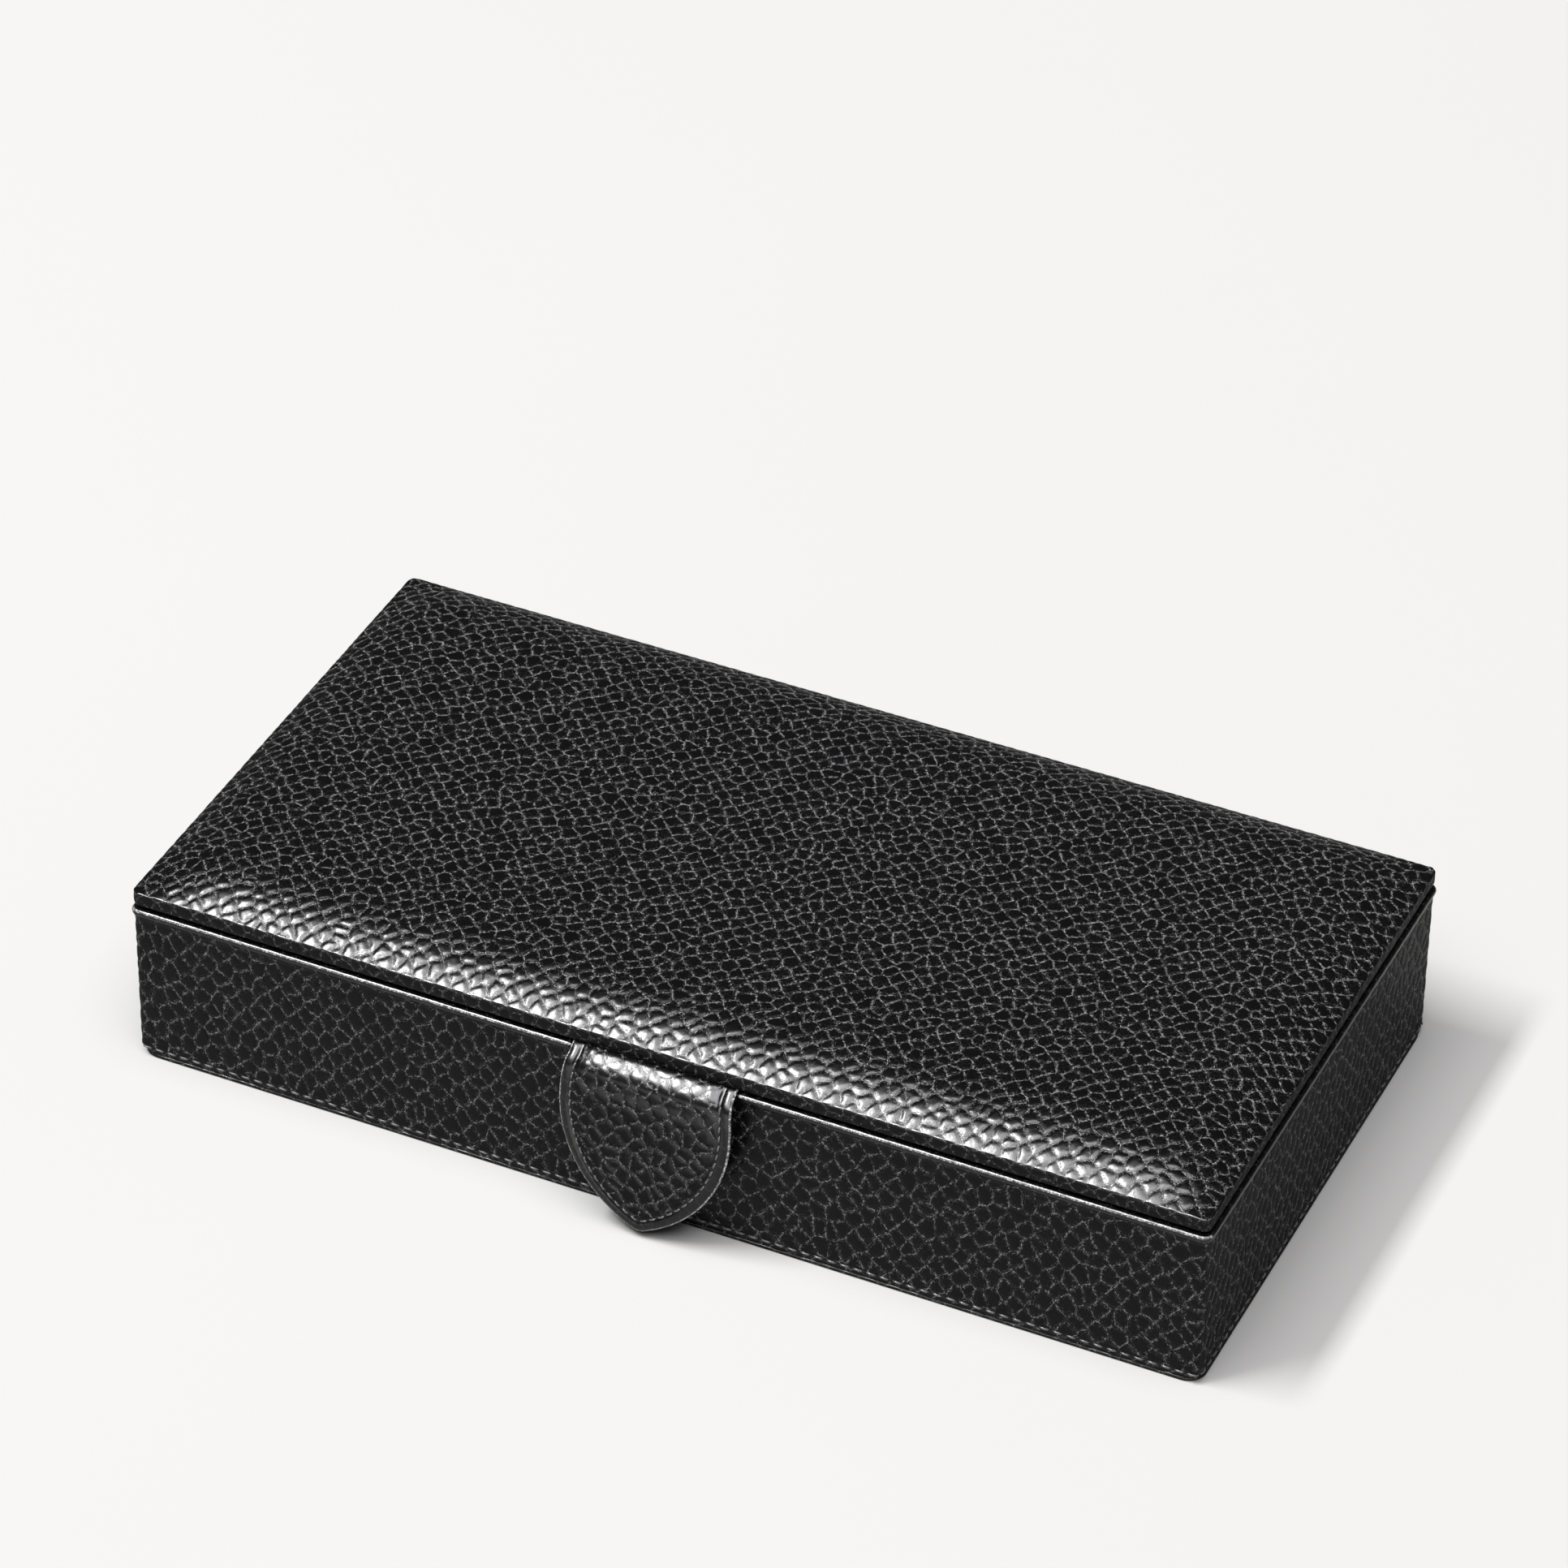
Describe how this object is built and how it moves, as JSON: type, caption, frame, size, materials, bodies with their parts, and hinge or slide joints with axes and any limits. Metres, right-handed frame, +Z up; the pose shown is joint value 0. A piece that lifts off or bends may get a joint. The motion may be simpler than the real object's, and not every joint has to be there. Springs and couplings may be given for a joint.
{
  "type": "poker chip case",
  "caption": "Rectangular leather-covered case with a padded hinged lid, a stitched pull tab, and suede-lined channels and bays for poker chips and playing cards.",
  "frame": {"origin": "centre of the case's outline on its underside, where it rests", "axes": "+X along the case's length, +Y towards the hinges (the tab is at -Y), +Z up"},
  "size_m": [0.32, 0.1806, 0.0635],
  "materials": {
    "leather": "black pebble-grained leather, semi-gloss",
    "board": "raw lightweight plywood",
    "suede": "warm grey suede lining",
    "foam": "upholstery foam, hidden",
    "thread": "black waxed thread",
    "brass": "satin brass"
  },
  "bodies": {
    "base": {"bottom_leather": "leather", "bottom_board": "board", "front_wall": "board", "back_wall": "board", "left_wall": "board", "right_wall": "board", "side_leather": "leather", "base_stitching": "thread", "floor_lining": "suede", "wall_lining": "suede", "chip_divider_1": "suede", "chip_divider_2": "suede", "chip_divider_3": "suede", "chip_divider_4": "suede", "bay_divider": "suede", "card_divider": "suede", "card_block_front": "suede", "card_block_back": "suede", "base_leaf_left": "brass", "base_leaf_right": "brass", "hinge_pin_left": "brass", "hinge_pin_right": "brass", "base_hinge_screws": "brass"},
    "lid": {"lid_board": "board", "lid_padding": "foam", "lid_leather": "leather", "lid_panel_board": "board", "lid_panel_suede": "suede", "lid_leaf_left": "brass", "lid_leaf_right": "brass", "lid_hinge_screws": "brass", "tab_tongue": "leather"},
    "tab": {"tab_front_leather": "leather", "tab_padding": "foam", "tab_back_leather": "leather", "tab_stitching": "thread"}
  },
  "joints": [
    {"name": "lid_hinge", "type": "hinge", "parent": "base", "child": "lid", "pos_m": [0, 0.085, 0.052], "axis": [-1, 0, 0], "range_deg": [0, 100]},
    {"name": "tab_flex", "type": "hinge", "parent": "lid", "child": "tab", "pos_m": [0, -0.0863, 0.0512], "axis": [-1, 0, 0], "range_deg": [-4, 60], "stiffness_Nm_per_rad": 0.02}
  ]
}
